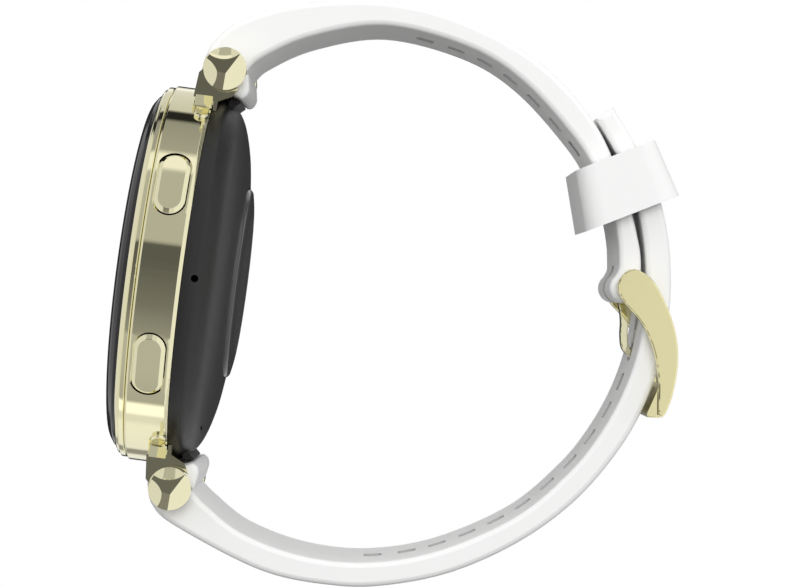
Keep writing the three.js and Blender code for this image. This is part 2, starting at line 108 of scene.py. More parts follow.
BOARD = node_material("board_green", (0.012, 0.10, 0.035), 0.38, noise=0.08, tint=0.3,
                      noise_scale=1500)
COPPER = node_material("copper_wire", (0.75, 0.36, 0.2), 0.3, 1.0, noise=0.08, noise_scale=4000)
FOIL = node_material("battery_foil", (0.5, 0.51, 0.53), 0.35, 0.8, noise=0.08, noise_scale=900)


DIAL_OPENING_R = 17.3
LENS_WINDOW_R = 7.4
RING_BLEND = 0.08


def ring_tint(material, radius, outside):
    """Another base colour beyond a radius from the case's axis."""
    nodes = material.node_tree.nodes
    link = material.node_tree.links.new
    shader = nodes["Principled BSDF"]
    place = nodes.new("ShaderNodeTexCoord")
    flat = nodes.new("ShaderNodeVectorMath")
    flat.operation = "MULTIPLY"
    flat.inputs[1].default_value = (0, 1, 1)
    size = nodes.new("ShaderNodeVectorMath")
    size.operation = "LENGTH"
    step = nodes.new("ShaderNodeMapRange")
    step.inputs["From Min"].default_value = radius * MM
    step.inputs["From Max"].default_value = (radius + RING_BLEND) * MM
    mix = nodes.new("ShaderNodeMix")
    mix.data_type = "RGBA"
    mix.inputs[6].default_value = shader.inputs["Base Color"].default_value[:]
    mix.inputs[7].default_value = (*outside, 1)
    link(place.outputs["Object"], flat.inputs[0])
    link(flat.outputs["Vector"], size.inputs[0])
    link(size.outputs["Value"], step.inputs["Value"])
    link(step.outputs["Result"], mix.inputs[0])
    link(mix.outputs[2], shader.inputs["Base Color"])


ring_tint(GLASS, DIAL_OPENING_R, (0.016, 0.016, 0.016))
ring_tint(LENS, LENS_WINDOW_R, (0.065, 0.065, 0.065))

CAD_LOOKS = {
    "glass_gasket": SEAL, "display_module": PLASTIC, "board_screw_a": STEEL,
    "board_screw_b": STEEL, "board_screw_c": STEEL, "main_board": BOARD, "battery": FOIL,
    "vibration_motor": STEEL, "microphone": STEEL, "back_gasket": SEAL, "sensor_board": BOARD,
    "charging_coil": COPPER, "button_upper_clip": STEEL, "button_upper_seal": SEAL,
    "button_upper_switch": PLASTIC, "button_lower_clip": STEEL, "button_lower_seal": SEAL,
    "button_lower_switch": PLASTIC, "lug_bar_upper": STEEL, "lug_bar_lower": STEEL,
    "buckle_pin": STEEL,
}
for node, look in CAD_LOOKS.items():
    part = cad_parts[node]
    part.data.materials.clear()
    part.data.materials.append(look)


# ---------------------------------------------------------------- mesh helpers (millimetres)
def spline(points, n):
    """n steps along a Catmull-Rom curve through the points."""
    out = []
    last = len(points) - 1
    for k in range(n + 1):
        p = last * k / n
        i = min(int(p), last - 1) if k < n else last - 1
        t = p - i
        a = points[max(i - 1, 0)]
        b = points[i]
        c = points[i + 1]
        d = points[min(i + 2, last)]
        v = []
        for q in (0, 1):
            m0 = (c[q] - a[q]) / 2
            m1 = (d[q] - b[q]) / 2
            v.append((2 * b[q] - 2 * c[q] + m0 + m1) * t ** 3
                     + (-3 * b[q] + 3 * c[q] - 2 * m0 - m1) * t ** 2 + m0 * t + b[q])
        out.append(tuple(v))
    return out


def new_object(name, mesh):
    o = bpy.data.objects.new(name, mesh)
    bpy.context.collection.objects.link(o)
    return o


MERGE = 0.0005


def clean(o):
    b = bmesh.new()
    b.from_mesh(o.data)
    bmesh.ops.remove_doubles(b, verts=b.verts, dist=MERGE)
    bmesh.ops.recalc_face_normals(b, faces=b.faces)
    b.to_mesh(o.data)
    b.free()
    return o


def lathe(name, profile, steps=256):
    """Turned about the X axis from (radius, x) points; closed on itself or on the axis."""
    b = bmesh.new()
    rings = []
    for r, x in profile:
        if r < 1e-6:
            rings.append([b.verts.new((x, 0, 0))])
        else:
            rings.append([b.verts.new((x, -r * math.cos(2 * math.pi * k / steps),
                                       r * math.sin(2 * math.pi * k / steps)))
                          for k in range(steps)])
    pairs = list(zip(rings, rings[1:]))
    if len(rings[0]) > 1:
        pairs.append((rings[-1], rings[0]))
    for p, q in pairs:
        for k in range(steps):
            j = (k + 1) % steps
            if len(p) == 1 and len(q) == 1:
                continue
            if len(p) == 1:
                b.faces.new((p[0], q[k], q[j]))
            elif len(q) == 1:
                b.faces.new((p[k], q[0], p[j]))
            else:
                b.faces.new((p[k], q[k], q[j], p[j]))
    bmesh.ops.recalc_face_normals(b, faces=b.faces)
    me = bpy.data.meshes.new(name)
    b.to_mesh(me)
    b.free()
    return new_object(name, me)


def slab(name, outline, low, high, edge=0.0, rounds=3):
    """An outline in x and z, given thickness along y, with rounded edges."""
    cu = bpy.data.curves.new(name, "CURVE")
    cu.dimensions = "2D"
    cu.fill_mode = "BOTH"
    s = cu.splines.new("POLY")
    s.points.add(len(outline) - 1)
    for pt, (x, z) in zip(s.points, outline):
        pt.co = (x, z, 0, 1)
    s.use_cyclic_u = True
    cu.extrude = (high - low) / 2 - edge
    cu.bevel_depth = edge
    cu.bevel_resolution = rounds
    cu.offset = -edge
    tmp = bpy.data.objects.new(name + "_outline", cu)
    bpy.context.collection.objects.link(tmp)
    me = bpy.data.meshes.new_from_object(tmp.evaluated_get(bpy.context.evaluated_depsgraph_get()))
    bpy.data.objects.remove(tmp)
    bpy.data.curves.remove(cu)
    me.transform(Matrix.Translation((0, (low + high) / 2, 0)) @ Matrix.Rotation(math.pi / 2, 4, "X"))
    return clean(new_object(name, me))


def rod(name, r, low, high, x, z, steps=48):
    """A round bar along y."""
    b = bmesh.new()
    bmesh.ops.create_cone(b, cap_ends=True, segments=steps, radius1=r, radius2=r, depth=high - low)
    me = bpy.data.meshes.new(name)
    b.to_mesh(me)
    b.free()
    me.transform(Matrix.Translation((x, (low + high) / 2, z)) @ Matrix.Rotation(math.pi / 2, 4, "X"))
    return new_object(name, me)


def block(name, x0, x1, y0, y1, z0, z1):
    """A box between two corners."""
    b = bmesh.new()
    bmesh.ops.create_cube(b, size=1)
    me = bpy.data.meshes.new(name)
    b.to_mesh(me)
    b.free()
    me.transform(Matrix.Translation(((x0 + x1) / 2, (y0 + y1) / 2, (z0 + z1) / 2))
                 @ Matrix.Diagonal((x1 - x0, y1 - y0, z1 - z0, 1)))
    return new_object(name, me)


def apply_modifiers(o):
    me = bpy.data.meshes.new_from_object(o.evaluated_get(bpy.context.evaluated_depsgraph_get()))
    old = o.data
    o.modifiers.clear()
    o.data = me
    bpy.data.meshes.remove(old)
    return o


def cut(o, tools, how="DIFFERENCE"):
    """Boolean with each tool in turn; the tools are used up."""
    for tool in tools:
        m = o.modifiers.new("cut", "BOOLEAN")
        m.operation = how
        m.solver = "EXACT"
        m.object = tool
        bpy.context.view_layer.update()
        apply_modifiers(o)
        bpy.data.objects.remove(tool)
    return o


def bevel(o, width, segments=3, angle=30):
    m = o.modifiers.new("bevel", "BEVEL")
    m.use_clamp_overlap = True
    m.width = width
    m.segments = segments
    m.limit_method = "ANGLE"
    m.angle_limit = rad(angle)
    return apply_modifiers(o)


FLAT_SIDE = 0.9999


def finish_piece(o, material, body, nodes, smooth=30):
    """Metres, material, shading and body; the faces square to the y axis stay flat."""
    o.data.transform(Matrix.Scale(MM, 4))
    o.data.materials.clear()
    o.data.materials.append(material)
    o.data.polygons.foreach_set("use_smooth", [True] * len(o.data.polygons))
    o.data.set_sharp_from_angle(angle=rad(smooth))
    b = bmesh.new()
    b.from_mesh(o.data)
    for e in b.edges:
        if len({abs(f.normal.y) > FLAT_SIDE for f in e.link_faces}) > 1:
            e.smooth = False
    b.to_mesh(o.data)
    b.free()
    m = o.modifiers.new("even_normals", "WEIGHTED_NORMAL")
    m.weight = 100
    m.keep_sharp = True
    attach(o, body)
    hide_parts(*nodes)
    return o


# ---------------------------------------------------------------- shapes shared with the frame
CASE_R, COLLAR_R, WALL_R, COVER_R, GLASS_R = 20.4, 19.2, 17.9, 19.9, 19.2
BAND_FRONT, BAND_BACK = -31.0, -26.55
COLLAR_FRONT, SHOULDER, BAND_BORE_R = -31.95, -28.0, 18.9
BUTTON_X, BUTTON_RISE, BUTTON_LONG, BUTTON_WIDE = -28.9, 27.6, 7.0, 3.2
BAR_X, BAR_Z, CAP_R = -25.5, 22.15, 2.25
PIN_X, PIN_Z, KNUCKLE_R = 19.2, 4.9, 1.6
STRAP_HALF = 9.0
FOOT_X, FOOT_RISE, FOOT_WIDE, FOOT_LONG = -27.4, 61.0, 1.5, 4.6
PIN_HOLE_R = 0.7
TURN_STEPS = 288


def wall(rise, x):
    """x along the case axis, y around the case, z straight out of its wall."""
    a = rad(rise)
    m = Matrix(((1, 0, 0), (0, math.sin(a), -math.cos(a)), (0, math.cos(a), math.sin(a)))).to_4x4()
    m.translation = (x, 0, 0)
    return m


def pill_outline(wide, long, steps=24):
    """Two half circles joined by straight sides."""
    r = wide / 2
    h = long / 2 - r
    top = [(r * math.cos(math.pi * k / steps), h + r * math.sin(math.pi * k / steps))
           for k in range(steps + 1)]
    return top + [(-x, -y) for x, y in top]


def wall_pill(name, wide, long, low, high, rise, x, edge=0.0, rounds=3):
    """A pill standing out of the wall, from radius low to high."""
    o = slab(name, pill_outline(wide, long), low, high, edge, rounds)
    o.data.transform(Matrix.Rotation(-math.pi / 2, 4, "X"))
    o.data.transform(Matrix.Scale(-1, 4, (0, 0, 1)))
    o.data.transform(wall(rise, x))
    return clean(o)


def envelope(name, room):
    """The outside of band and cover, grown by room."""
    return lathe(name, [
        (0, BAND_FRONT - 1), (CASE_R + room, BAND_FRONT - 1), (CASE_R + room, BAND_BACK + 0.1),
        (COVER_R + room, -26.4), (19.82 + room, -25.5), (19.4 + room, -24.7),
        (17.9 + room, -23.5), (14.0, -22.2 + room), (0, -21.9 + room)], 192)


# ---------------------------------------------------------------- case
def rounded(points, radius, steps=3):
    """A closed (radius, x) profile with its corners rounded."""
    out = []
    n = len(points)
    for i, p in enumerate(points):
        a = Vector(points[i - 1])
        b = Vector(p)
        c = Vector(points[(i + 1) % n])
        u = (a - b).normalized()
        v = (c - b).normalized()
        r = min(radius, (a - b).length * 0.4, (c - b).length * 0.4)
        for k in range(steps + 1):
            t = k / steps
            q = b + u * r * (1 - t) ** 2 + v * r * t ** 2
            out.append((q.x, q.y))
    return out


RECESS_GAP, RECESS_FLOOR, RECESS_TOP = 0.36, 19.3, 22
BAND_EDGE, BEZEL_EDGE = 0.03, 0.05
BAND_PROFILE = [
    (WALL_R, SHOULDER), (WALL_R, COLLAR_FRONT), (COLLAR_R, COLLAR_FRONT),
    (COLLAR_R, BAND_FRONT - 0.1), (CASE_R - 0.22, BAND_FRONT - 0.1), (CASE_R, BAND_FRONT + 0.12),
    (CASE_R, BAND_BACK - 0.36), (CASE_R - 0.36, BAND_BACK), (BAND_BORE_R, BAND_BACK),
    (BAND_BORE_R, SHOULDER)]
band = lathe("case_band", rounded(BAND_PROFILE, BAND_EDGE, 2), TURN_STEPS)
cut(band, [wall_pill("recess", BUTTON_WIDE + RECESS_GAP, BUTTON_LONG + RECESS_GAP, RECESS_FLOOR,
                     RECESS_TOP, side * BUTTON_RISE, BUTTON_X) for side in (1, -1)])
finish_piece(band, GOLD, "case", ["case_middle"])

BEZEL_PROFILE = [(19.26, -31.15), (20.05, -31.15), (20.17, -31.24), (20.17, -31.72),
                 (19.93, -31.80), (19.86, -32.05), (19.55, -32.25), (19.26, -32.25)]
bezel = lathe("bezel", rounded(BEZEL_PROFILE, BEZEL_EDGE, 3), TURN_STEPS)
finish_piece(bezel, GOLD, "case", ["bezel_ring"])

GLASS_BACK = -32.1
DOME = spline([(GLASS_R, -32.35), (18.9, -32.75), (17.5, -33.4), (13.5, -33.85), (7.0, -34.08),
               (0, -34.15)], 40)
glass = lathe("dial_glass", [(0, GLASS_BACK), (GLASS_R, GLASS_BACK)] + DOME, TURN_STEPS)
finish_piece(glass, GLASS, "case", ["front_glass"])

COVER_SKIN = spline([(COVER_R, -26.5), (19.75, -25.5), (19.3, -24.75), (17.4, -23.4),
                     (14.2, -22.45), (10.5, -21.93)], 40)
COVER_LINING = spline([(9.35, -23.0), (13.5, -23.45), (16.6, -24.3), (18.1, -25.4),
                       (18.15, -26.4)], 16)
LENS_SEAT = [(10.45, -21.95), (10.42, -22.65), (9.35, -22.65)]
SPIGOT = [(18.15, -27.6), (18.75, -27.6), (18.75, -26.52)]
LIP = [(-25.2, 18.1), (-25.0, 19.3), (-24.5, 19.42), (-23.85, 19.3), (-23.8, 19.15),
       (-24.3, 18.7), (-24.6, 18.1)]
LIP_HALF = 5.4
LIP_INSIDE = [(0, -26), (19.0, -26), (17.0, -24.2), (14, -23.2), (0, -23)]
LIP_REACH = 20.15
cover = lathe("back_shell", COVER_SKIN + LENS_SEAT + COVER_LINING + SPIGOT, TURN_STEPS)
for side in (1, -1):
    lip = slab("lip", [(x, side * z) for x, z in LIP], -LIP_HALF, LIP_HALF, 0.04, 2)
    cut(lip, [lathe("lip_inner", LIP_INSIDE, 128)])
    cut(lip, [lathe("rim_room", [(0, -26), (LIP_REACH, -26), (LIP_REACH, -22), (0, -22)], 192)],
        "INTERSECT")
    cut(cover, [lip], "UNION")
SLIT_ROUND, SLIT_LEAN, SLIT_X, SLIT_RADIUS = rad(-24), rad(40), -23.1, 17.4
slit = block("slit", -1.1, 1.1, -0.5, 0.5, -0.14, 0.14)
slit.data.transform(Matrix.Rotation(SLIT_ROUND, 4, "X")
                    @ Matrix.Translation((SLIT_X, 0, -SLIT_RADIUS))
                    @ Matrix.Rotation(SLIT_LEAN, 4, "Y"))
SOUND_HOLE_R, SOUND_HOLE_X = 0.38, -25.25
cut(cover, [rod("sound_hole", SOUND_HOLE_R, -21, -15, SOUND_HOLE_X, 0, 32), slit])
finish_piece(cover, BLACK, "case", ["back_cover"], smooth=35)

LENS_SEAT_R, LENS_R, LENS_FACE = 9.25, 10.3, -21.1
LENS_DOME = spline([(10.0, -21.5), (8.5, -21.25), (6.0, -21.13), (4.0, LENS_FACE)], 16)
lens = lathe("sensor_dome", [(0, -23.2), (LENS_SEAT_R, -23.2), (LENS_SEAT_R, -22.6),
                             (LENS_R, -22.6), (LENS_R, -21.85), (10.24, -21.7), (10.12, -21.58)]
             + LENS_DOME + [(0, LENS_FACE)], TURN_STEPS)
finish_piece(lens, LENS, "case", ["sensor_window"])


# ---------------------------------------------------------------- buttons
# Each loop of the button: how far in from its outline, and its distance from the case's axis.
PUSH_LOOPS = ((0, 20.08), (0, 20.40), (0.04, 20.44), (0.34, 20.69), (0.40, 20.72))
ARC_STEPS, SIDE_STEPS = 20, 15


def push_button(name, rise):
    """A pill with a bevelled rim and a face that follows the case's curve."""
    b = bmesh.new()
    loops = []
    for inset, out in PUSH_LOOPS:
        r = BUTTON_WIDE / 2 - inset
        straight = BUTTON_LONG / 2 - BUTTON_WIDE / 2
        turns = [rad(90 / ARC_STEPS * k) for k in range(ARC_STEPS + 1)]
        half = [(r * math.sin(a), straight + r * math.cos(a)) for a in turns]
        half += [(r, straight * (1 - k / SIDE_STEPS)) for k in range(1, 2 * SIDE_STEPS)]
        half += [(x, -y) for x, y in half[:ARC_STEPS + 1][::-1]]
        loops.append([[b.verts.new((way * x, y, out + math.sqrt(out ** 2 - y ** 2) - out))
                       for x, y in half] for way in (1, -1)])
    for low, high in zip(loops, loops[1:]):
        for p, q in zip(low, high):
            for k in range(len(p) - 1):
                b.faces.new((p[k], p[k + 1], q[k + 1], q[k]))
    for right, left in (loops[0], loops[-1]):
        for k in range(len(right) - 1):
            b.faces.new((right[k], right[k + 1], left[k + 1], left[k]))
    me = bpy.data.meshes.new(name)
    b.to_mesh(me)
    b.free()
    me.transform(wall(rise, BUTTON_X))
    return clean(new_object(name, me))


for place, side in (("upper", 1), ("lower", -1)):
    push = push_button(f"push_{place}", side * BUTTON_RISE)
    finish_piece(push, GOLD, f"{place}_button", [f"button_{place}"], smooth=20)


# ---------------------------------------------------------------- lugs and caps
CAP_FOOT, CAP_TOP = 9.75, 12.6
CAP_EDGE, FACET_EDGE = 0.12, 0.04
# Flat facets of a cap: (direction round the cap, tilt, distance out where it starts).
FACETS = ((330, 23, 0.42), (262, 11, 0.5))
# Scooped facets: (direction round the cap, distance out where the scoop starts).
SCOOPS = ((98, 0.94), (207, 0.85))
SCOOP_R, SCOOP_RISE = 4.4, rad(36)


def ball(name, r, x, y, z):
    b = bmesh.new()
    bmesh.ops.create_uvsphere(b, u_segments=128, v_segments=96, radius=r)
    me = bpy.data.meshes.new(name)
    b.to_mesh(me)
    b.free()
    me.transform(Matrix.Translation((x, y, z)))
    return new_object(name, me)


def drum_end():
    """A cap end in its own frame, axis along +y: a drum with two flat and two scooped facets."""
    o = rod("cap_end", CAP_R, CAP_FOOT, CAP_TOP, 0, 0, 128)
    bevel(o, CAP_EDGE, 2)
    tools = []
    for turn, tilt, out in FACETS:
        facet = block("facet", -4, 4, 0, 4, -4, 4)
        facet.data.transform(Matrix.Rotation(-rad(turn), 4, "Y")
                             @ Matrix.Translation((out, CAP_TOP, 0))
                             @ Matrix.Rotation(-rad(tilt), 4, "Z"))
        tools.append(facet)
    for turn, reach in SCOOPS:
        far = reach + SCOOP_R * math.sin(SCOOP_RISE)
        tools.append(ball("scoop", SCOOP_R, far * math.cos(rad(turn)),
                          CAP_TOP + SCOOP_R * math.cos(SCOOP_RISE), far * math.sin(rad(turn))))
    cut(o, tools)
    return bevel(o, FACET_EDGE, 2, 7)


LUG = [(-28.3, 21.6), (-28.55, 19.0), (-26.0, 18.75), (-24.45, 19.5), (-23.9, 20.6),
       (-23.7, 22.6), (-24.6, 23.7), (-26.4, 23.7)]
LUG_HALF = 9.7
SKIRT = [(-28.45, 19.3), (-28.2, 18.2), (-27.6, 17.6), (-26.1, 17.6), (-25.9, 19.3)]
SKIRT_HALF = 9.0
HOLLOW_R, HOLLOW_HALF, HOLLOW_OPEN_X = 2.75, 9.2, -25.0
FOOT_START, FOOT_TOP = 20.03, CASE_R + 0.3
WEB = [(9.6, 19.4), (9.7, 19.25), (10.3, 18.1), (10.2, 17.9), (9.6, 17.9), (8.6, 19.4)]
WEB_FRONT, WEB_BACK = -28.3, -26.5
LUG_BORE_R, LUG_EDGE, CASE_ROOM = 1.03, 0.07, 0.05
cap_end = drum_end()
for place, side in (("upper", 1), ("lower", -1)):
    lug = slab(f"lug_block_{place}", [(x, side * z) for x, z in LUG], -LUG_HALF, LUG_HALF)
    cut(lug, [slab("skirt", [(x, side * z) for x, z in SKIRT], -SKIRT_HALF, SKIRT_HALF)], "UNION")
    z0, z1 = (15, 26) if side > 0 else (-26, -15)
    cut(lug, [rod("hollow", HOLLOW_R, -HOLLOW_HALF, HOLLOW_HALF, BAR_X, side * BAR_Z, 96),
              block("open", HOLLOW_OPEN_X, -20, -HOLLOW_HALF, HOLLOW_HALF, z0, z1),
              envelope("room", CASE_ROOM)])
    cut(lug, [wall_pill("claw", FOOT_WIDE, FOOT_LONG, FOOT_START, FOOT_TOP, side * turn, FOOT_X,
                        0.12, 2) for turn in (FOOT_RISE, 180 - FOOT_RISE)], "UNION")
    for way in (1, -1):
        web = slab("web", [(way * y, side * z) for y, z in WEB], WEB_FRONT, WEB_BACK, 0.05, 2)
        web.data.transform(Matrix.Rotation(-math.pi / 2, 4, "Z"))
        cut(lug, [web], "UNION")
    cut(lug, [rod("bar_hole", LUG_BORE_R, -11, 11, BAR_X, side * BAR_Z)])
    bevel(lug, LUG_EDGE, 2, 35)
    finish_piece(lug, GOLD, "case", [f"lug_{place}"])
    for end, way in (("near", -1), ("far", 1)):
        cap = new_object(f"cap_{place}_{end}", cap_end.data.copy())
        if way < 0:
            cap.data.transform(Matrix.Scale(-1, 4, (0, 1, 0)))
            clean(cap)
        cap.data.transform(Matrix.Translation((BAR_X, 0, side * BAR_Z)))
        finish_piece(cap, GOLD, "case", [f"lug_cap_{place}_{end}"], smooth=12)

bpy.data.objects.remove(cap_end)

# ---------------------------------------------------------------- strap
SHORT_OUT = [(-28.15, 22.2), (-27.4, 24.7), (-24.8, 27.55), (-18.7, 30.2), (-9.9, 31.65),
             (-1.5, 30.75), (7.0, 27.45), (13.6, 22.0), (17.7, 15.5), (20.0, 10.0),
             (20.65, 7.2), (PIN_X + KNUCKLE_R, PIN_Z)]
SHORT_IN = [(18.02, 6.0), (18.3, 6.75), (18.25, 7.6), (17.85, 9.8), (16.9, 12.6), (14.75, 16.4),
            (11.9, 19.9), (5.8, 25.1), (-0.5, 28.0), (-9.5, 29.1), (-17.2, 26.9), (-22.0, 24.0),
            (-23.4, 22.3)]
LONG_OUT = [(-28.15, -22.2), (-27.3, -24.4), (-24.5, -26.3), (-15.1, -29.7), (-7.6, -30.3),
            (-1.7, -29.55), (5.1, -27.2), (11.7, -23.1), (17.0, -18.0), (20.9, -12.0), (23.1, -6.4),
            (24.1, -0.5), (24.1, 5.0), (23.0, 11.0), (20.6, 16.8), (15.5, 23.7)]
LONG_IN = [(13.85, 22.25), (17.9, 16.8), (20.3, 11.0), (21.45, 5.0), (21.55, -0.5), (20.5, -6.0),
           (18.4, -11.2), (15.6, -15.6), (10.8, -20.7), (3.3, -25.2), (-4.0, -27.4),
           (-11.0, -27.6), (-17.5, -26.1), (-21.6, -23.7), (-23.4, -22.3)]
SHORT_MID = [(-6.0, 30.2), (0.5, 29.1), (6.4, 26.3), (12.7, 20.95), (15.8, 15.95)]
LONG_MID = [(-5.0, -28.8), (4.2, -26.2), (11.25, -21.9), (16.3, -16.8), (19.65, -11.6),
            (21.8, -6.2), (22.83, -0.5), (22.78, 5.0), (21.65, 11.0), (19.3, 16.8)]
NOSE = spline([(-23.1, 21.9), (-22.95, 21.1), (-22.85, 20.35), (-23.1, 19.7), (-23.6, 19.4),
               (-24.2, 19.6), (-24.9, 19.85), (-25.6, 19.7)], 40)
ROLL_R = 2.6
ROLL = [(BAR_X + ROLL_R * math.cos(rad(a)), BAR_Z + ROLL_R * math.sin(rad(a)))
        for a in range(250, 190, -6)]
KNUCKLE = [(PIN_X + KNUCKLE_R * math.cos(rad(a)), PIN_Z + KNUCKLE_R * math.sin(rad(a)))
           for a in range(-8, -214, -8)]
STRAP_EDGE = 0.55
BAR_EYE_R, STRAP_ROOM, TONGUE_ROOM = 1.05, 0.3, 1.35
SLOT_LONG, SLOT_WIDE, SLOT_PITCH, SLOT_CORNER = 2.0, 3.0, 3.6, 0.55
SHORT_FIRST, SHORT_SLOTS = 1.0, 8
LONG_FIRST, LONG_SLOTS = 1.8, 16
SHADE_MARGIN, SHADE_FACING = 0.1, 0.25


def slot_tool(x, z, slope):
    """A bar with rounded corners, set square through the strap."""
    r = SLOT_CORNER
    pts = []
    for cx, cy, a0 in ((1, 1, 0), (-1, 1, 90), (-1, -1, 180), (1, -1, 270)):
        for k in range(7):
            a = rad(a0 + 15 * k)
            pts.append((cx * (SLOT_LONG / 2 - r) + r * math.cos(a),
                        cy * (SLOT_WIDE / 2 - r) + r * math.sin(a)))
    o = slab("slot", pts, -4.5, 4.5)
    o.data.transform(Matrix.Rotation(-math.pi / 2, 4, "X"))
    o.data.transform(Matrix.Translation((x, 0, z)) @ Matrix.Rotation(-slope, 4, "Y"))
    return o


def slot_row(line, first, count):
    """Slots at an even spacing along the line."""
    pts = spline(line, 600)
    out = []
    run = 0.0
    want = first
    for p, q in zip(pts, pts[1:]):
        run += math.dist(p, q)
        if run >= want and len(out) < count:
            out.append(slot_tool(q[0], q[1], math.atan2(q[1] - p[1], q[0] - p[0])))
            want += SLOT_PITCH
    return out


def strap(name, outline, tools, node):
    """A strap half; the walls of its slots take a darker grey, painted shade for the shadow inside the
    slots.
    """
    o = slab(name, outline, -STRAP_HALF, STRAP_HALF, STRAP_EDGE, 2)
    cut(o, tools)
    finish_piece(o, WHITE, "case", [node], smooth=33)
    o.data.materials.append(SLOT_PAINTED_SHADE)
    # The slot walls facing along y get the painted shade.
    reach = (SLOT_WIDE / 2 + SHADE_MARGIN) * MM
    for f in o.data.polygons:
        if abs(f.center.y) < reach and abs(f.normal.y) > SHADE_FACING:
            f.material_index = 1
    return o


MIRRORED = [(x, -z) for x, z in NOSE + ROLL]
strap("strap_short", spline(SHORT_OUT, 110) + KNUCKLE + spline(SHORT_IN, 100) + NOSE + ROLL,
      [rod("bar_eye", BAR_EYE_R, -12, 12, BAR_X, BAR_Z),
       rod("pin_eye", PIN_HOLE_R, -12, 12, PIN_X, PIN_Z), envelope("room", STRAP_ROOM),
       block("knuckle_gap", 15, 23, -TONGUE_ROOM, TONGUE_ROOM, 2, 7.2)]
      + slot_row(SHORT_MID, SHORT_FIRST, SHORT_SLOTS), "strap_upper")
strap("strap_long", spline(LONG_OUT, 150) + spline(LONG_IN, 140) + MIRRORED,
      [rod("bar_eye", BAR_EYE_R, -12, 12, BAR_X, -BAR_Z), envelope("room", STRAP_ROOM)]
      + slot_row(LONG_MID, LONG_FIRST, LONG_SLOTS), "strap_lower")

# ---------------------------------------------------------------- keeper
KEEPER_X, KEEPER_Z, KEEPER_TILT = 17.6, 15.7, rad(28.7)
KEEPER_FRAME = (Matrix.Translation((KEEPER_X, 0, KEEPER_Z))
                @ Matrix.Rotation(-KEEPER_TILT, 4, "Y"))
# Inner and outer side of the loop at its lower and at its upper end.
KEEPER_OUTSIDE = ((-5.5, 5.1), (-4.15, 4.85))
KEEPER_INSIDE = ((-4.3, 3.7), (-2.3, 3.7))
KEEPER_HALF, KEEPER_LONG, KEEPER_ROUND = 10.9, 3.2, 2.3
KEEPER_IN_HALF, KEEPER_IN_LONG, KEEPER_IN_ROUND = 9.4, 5.0, 0.8


def keeper_prism(name, ends, half, t, radius):
    """A rounded box along t whose inner and outer sides move from ends[0] to ends[1]."""
    (a0, b0), (a1, b1) = ends
    pts = []
    for cx, cy, turn in ((b0, half, 0), (a0, half, 90), (a0, -half, 180), (b0, -half, 270)):
        px = cx - math.copysign(radius, cx)
        py = cy - math.copysign(radius, cy)
        pts += [(px + radius * math.cos(rad(turn + 9 * k)), py + radius * math.sin(rad(turn + 9 * k)))
                for k in range(11)]
    o = slab(name, pts, -t, t)
    o.data.transform(Matrix.Rotation(math.pi / 2, 4, "X"))
    for v in o.data.vertices:
        k = (v.co.z + t) / (2 * t)
        low = a0 + (a1 - a0) * k
        high = b0 + (b1 - b0) * k
        v.co.x = low + (v.co.x - a0) / (b0 - a0) * (high - low)
    return o


keeper = keeper_prism("keeper_band", KEEPER_OUTSIDE, KEEPER_HALF, KEEPER_LONG, KEEPER_ROUND)
cut(keeper, [keeper_prism("keeper_hollow", KEEPER_INSIDE, KEEPER_IN_HALF, KEEPER_IN_LONG,
                          KEEPER_IN_ROUND)])
bevel(keeper, 0.16, 3, 50)
keeper.data.transform(KEEPER_FRAME)
finish_piece(keeper, WHITE, "keeper", ["keeper_loop"], smooth=40)

# ---------------------------------------------------------------- buckle
ARM = spline([(18.35, 5.6), (19.0, 6.6), (20.1, 6.95), (21.9, 6.0), (23.7, 3.55), (25.0, 0.8),
              (25.6, -2.0), (25.55, -5.2), (25.1, -7.4), (24.7, -8.1)], 90) + spline(
             [(24.3, -7.9), (24.15, -6.8), (23.85, -4.4), (23.1, -1.7), (22.1, 0.3), (20.9, 1.85),
              (19.4, 3.15), (18.5, 4.3), (18.3, 5.0)], 80)
CROSS = [(24.15, -4.6), (25.0, -4.7), (25.3, -6.2), (25.0, -7.7), (24.5, -8.2), (23.25, -8.3),
         (23.15, -7.9)]
ARM_IN, ARM_OUT, ARM_EDGE = 9.35, 10.9, 0.16
CROSS_HALF, CROSS_EDGE = 9.95, 0.1
NOTCH_HALF = 1.2
buckle = slab("buckle_hoop", ARM, -ARM_OUT, -ARM_IN, ARM_EDGE, 2)
cut(buckle, [slab("arm_far", ARM, ARM_IN, ARM_OUT, ARM_EDGE, 2),
             slab("cross", CROSS, -CROSS_HALF, CROSS_HALF, CROSS_EDGE, 2)], "UNION")
cut(buckle, [rod("pin_hole", PIN_HOLE_R, -10.4, 10.4, PIN_X, PIN_Z),
             block("notch", 24.6, 26, -NOTCH_HALF, NOTCH_HALF, -7.2, -4)])
finish_piece(buckle, GOLD_SATIN, "buckle", ["buckle_frame"])

TONGUE_HALF, TONGUE_EDGE, TONGUE_EYE_R = 0.95, 0.12, 1.35
TONGUE_THICK, TONGUE_TAPER = 0.42, 0.08
TONGUE_LINE = spline([(19.5, 4.1), (20.0, 2.7), (20.3, 1.3), (20.42, -0.1), (20.8, -1.45),
                      (21.9, -2.15), (23.3, -2.25), (24.4, -2.85), (24.95, -4.2), (25.1, -5.9)], 60)
outer_side, inner_side = [], []
for i, (x, z) in enumerate(TONGUE_LINE):
    before = Vector(TONGUE_LINE[max(i - 1, 0)])
    after = Vector(TONGUE_LINE[min(i + 1, len(TONGUE_LINE) - 1)])
    along = (after - before).normalized()
    half = TONGUE_THICK - TONGUE_TAPER * i / len(TONGUE_LINE)
    outer_side.append((x + half * along.y, z - half * along.x))
    inner_side.append((x - half * along.y, z + half * along.x))
tongue = slab("tongue_bar", outer_side + inner_side[::-1], -TONGUE_HALF, TONGUE_HALF,
              TONGUE_EDGE, 2)
cut(tongue, [rod("eye", TONGUE_EYE_R, -TONGUE_HALF, TONGUE_HALF, PIN_X, PIN_Z, 64)], "UNION")
cut(tongue, [rod("eye_hole", PIN_HOLE_R, -3, 3, PIN_X, PIN_Z)])
